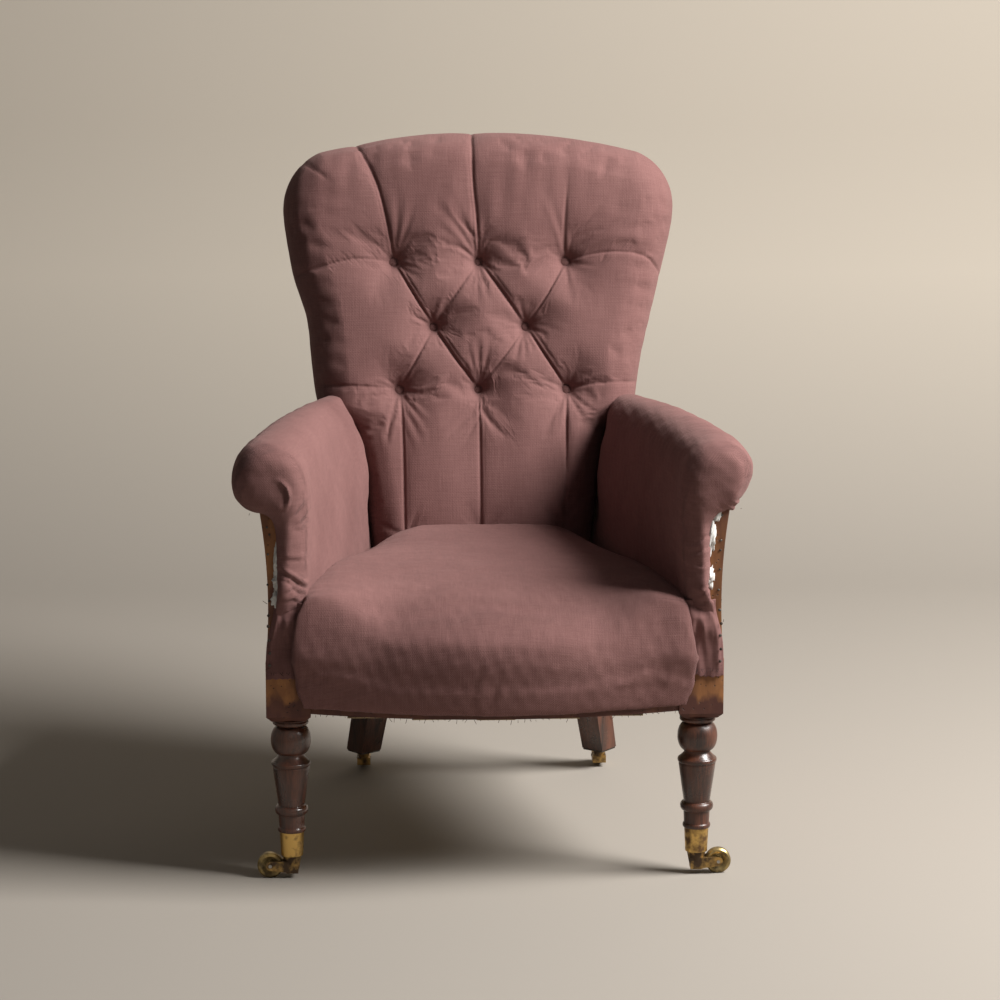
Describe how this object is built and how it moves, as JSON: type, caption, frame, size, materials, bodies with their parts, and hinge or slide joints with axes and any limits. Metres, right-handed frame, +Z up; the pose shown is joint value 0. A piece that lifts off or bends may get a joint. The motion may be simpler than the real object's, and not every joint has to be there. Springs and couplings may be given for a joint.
{
  "type": "upholstered armchair",
  "caption": "Spoon-back armchair in its undercloth, with a buttoned back, rolled arms, turned front legs and swivelling castors.",
  "frame": {"origin": "middle of the bounding box, on the floor under the castors", "axes": "+Z up, +X to the sitter's left, -Y towards the front of the seat"},
  "size_m": [0.686, 0.7675, 0.9324],
  "materials": {
    "stained_wood": "dark polished stain",
    "frame_wood": "bare sawn beech",
    "undercloth": "plain weave, muted plum",
    "webbing": "twilled jute strap",
    "hessian": "coarse open weave",
    "twine": "waxed twine",
    "spring_wire": "coppered wire",
    "castor_brass": "worn brass with brown patina",
    "castor_bronze": "dark bronze",
    "castor_iron": "dull",
    "steel": "plain"
  },
  "bodies": {
    "chair_frame": {"arm_hessian_left": "hessian", "arm_hessian_right": "hessian", "arm_pad_left": "undercloth", "arm_pad_right": "undercloth", "arm_rail_left": "frame_wood", "arm_rail_right": "frame_wood", "arm_tack_rail_left": "frame_wood", "arm_tack_rail_right": "frame_wood", "arm_webbing_left": "webbing", "arm_webbing_right": "webbing", "back_button_ties": "twine", "back_buttons": "undercloth", "back_crest_rail": "frame_wood", "back_crest_tongues": "frame_wood", "back_hessian": "hessian", "back_lower_rail": "frame_wood", "back_pad": "undercloth", "back_webbing": "webbing", "corner_block_screws": "steel", "corner_blocks": "frame_wood", "front_castor_cup_left": "castor_brass", "front_castor_cup_right": "castor_brass", "front_leg_left": "stained_wood", "front_leg_right": "stained_wood", "front_post_left": "frame_wood", "front_post_right": "frame_wood", "rear_castor_plate_left": "castor_iron", "rear_castor_plate_right": "castor_iron", "rear_castor_screws": "steel", "rear_leg_left": "stained_wood", "rear_leg_right": "stained_wood", "seat_hessian": "hessian", "seat_pad": "undercloth", "seat_rail_front": "frame_wood", "seat_rail_rear": "frame_wood", "seat_rail_side_left": "frame_wood", "seat_rail_side_right": "frame_wood", "seat_springs": "spring_wire", "seat_webbing": "webbing"},
    "front_castor_swivel_left": {"front_castor_horn_left": "castor_bronze", "front_castor_axle_left": "steel", "front_castor_pivot_left": "steel"},
    "front_castor_roller_left": {"front_castor_wheel_left": "castor_brass"},
    "rear_castor_swivel_left": {"rear_castor_horn_left": "castor_bronze", "rear_castor_axle_left": "steel", "rear_castor_pivot_left": "steel"},
    "rear_castor_roller_left": {"rear_castor_wheel_left": "castor_bronze"},
    "front_castor_swivel_right": {"front_castor_horn_right": "castor_bronze", "front_castor_axle_right": "steel", "front_castor_pivot_right": "steel"},
    "front_castor_roller_right": {"front_castor_wheel_right": "castor_brass"},
    "rear_castor_swivel_right": {"rear_castor_horn_right": "castor_bronze", "rear_castor_axle_right": "steel", "rear_castor_pivot_right": "steel"},
    "rear_castor_roller_right": {"rear_castor_wheel_right": "castor_bronze"}
  },
  "joints": [
    {"name": "front_swivel_left", "type": "hinge", "parent": "chair_frame", "child": "front_castor_swivel_left", "pos_m": [0.268, -0.29778, 0.02], "axis": [0, 0, 1], "continuous": true},
    {"name": "front_wheel_spin_left", "type": "hinge", "parent": "front_castor_swivel_left", "child": "front_castor_roller_left", "pos_m": [0.297, -0.29778, 0.017], "axis": [0, 1, 0], "continuous": true},
    {"name": "rear_swivel_left", "type": "hinge", "parent": "chair_frame", "child": "rear_castor_swivel_left", "pos_m": [0.175, 0.24122, 0.02], "axis": [0, 0, 1], "continuous": true},
    {"name": "rear_wheel_spin_left", "type": "hinge", "parent": "rear_castor_swivel_left", "child": "rear_castor_roller_left", "pos_m": [0.175, 0.26222, 0.0125], "axis": [1, 0, 0], "continuous": true},
    {"name": "front_swivel_right", "type": "hinge", "parent": "chair_frame", "child": "front_castor_swivel_right", "pos_m": [-0.268, -0.29778, 0.02], "axis": [0, 0, 1], "continuous": true},
    {"name": "front_wheel_spin_right", "type": "hinge", "parent": "front_castor_swivel_right", "child": "front_castor_roller_right", "pos_m": [-0.297, -0.29778, 0.017], "axis": [0, 1, 0], "continuous": true},
    {"name": "rear_swivel_right", "type": "hinge", "parent": "chair_frame", "child": "rear_castor_swivel_right", "pos_m": [-0.175, 0.24122, 0.02], "axis": [0, 0, 1], "continuous": true},
    {"name": "rear_wheel_spin_right", "type": "hinge", "parent": "rear_castor_swivel_right", "child": "rear_castor_roller_right", "pos_m": [-0.175, 0.26222, 0.0125], "axis": [1, 0, 0], "continuous": true}
  ]
}
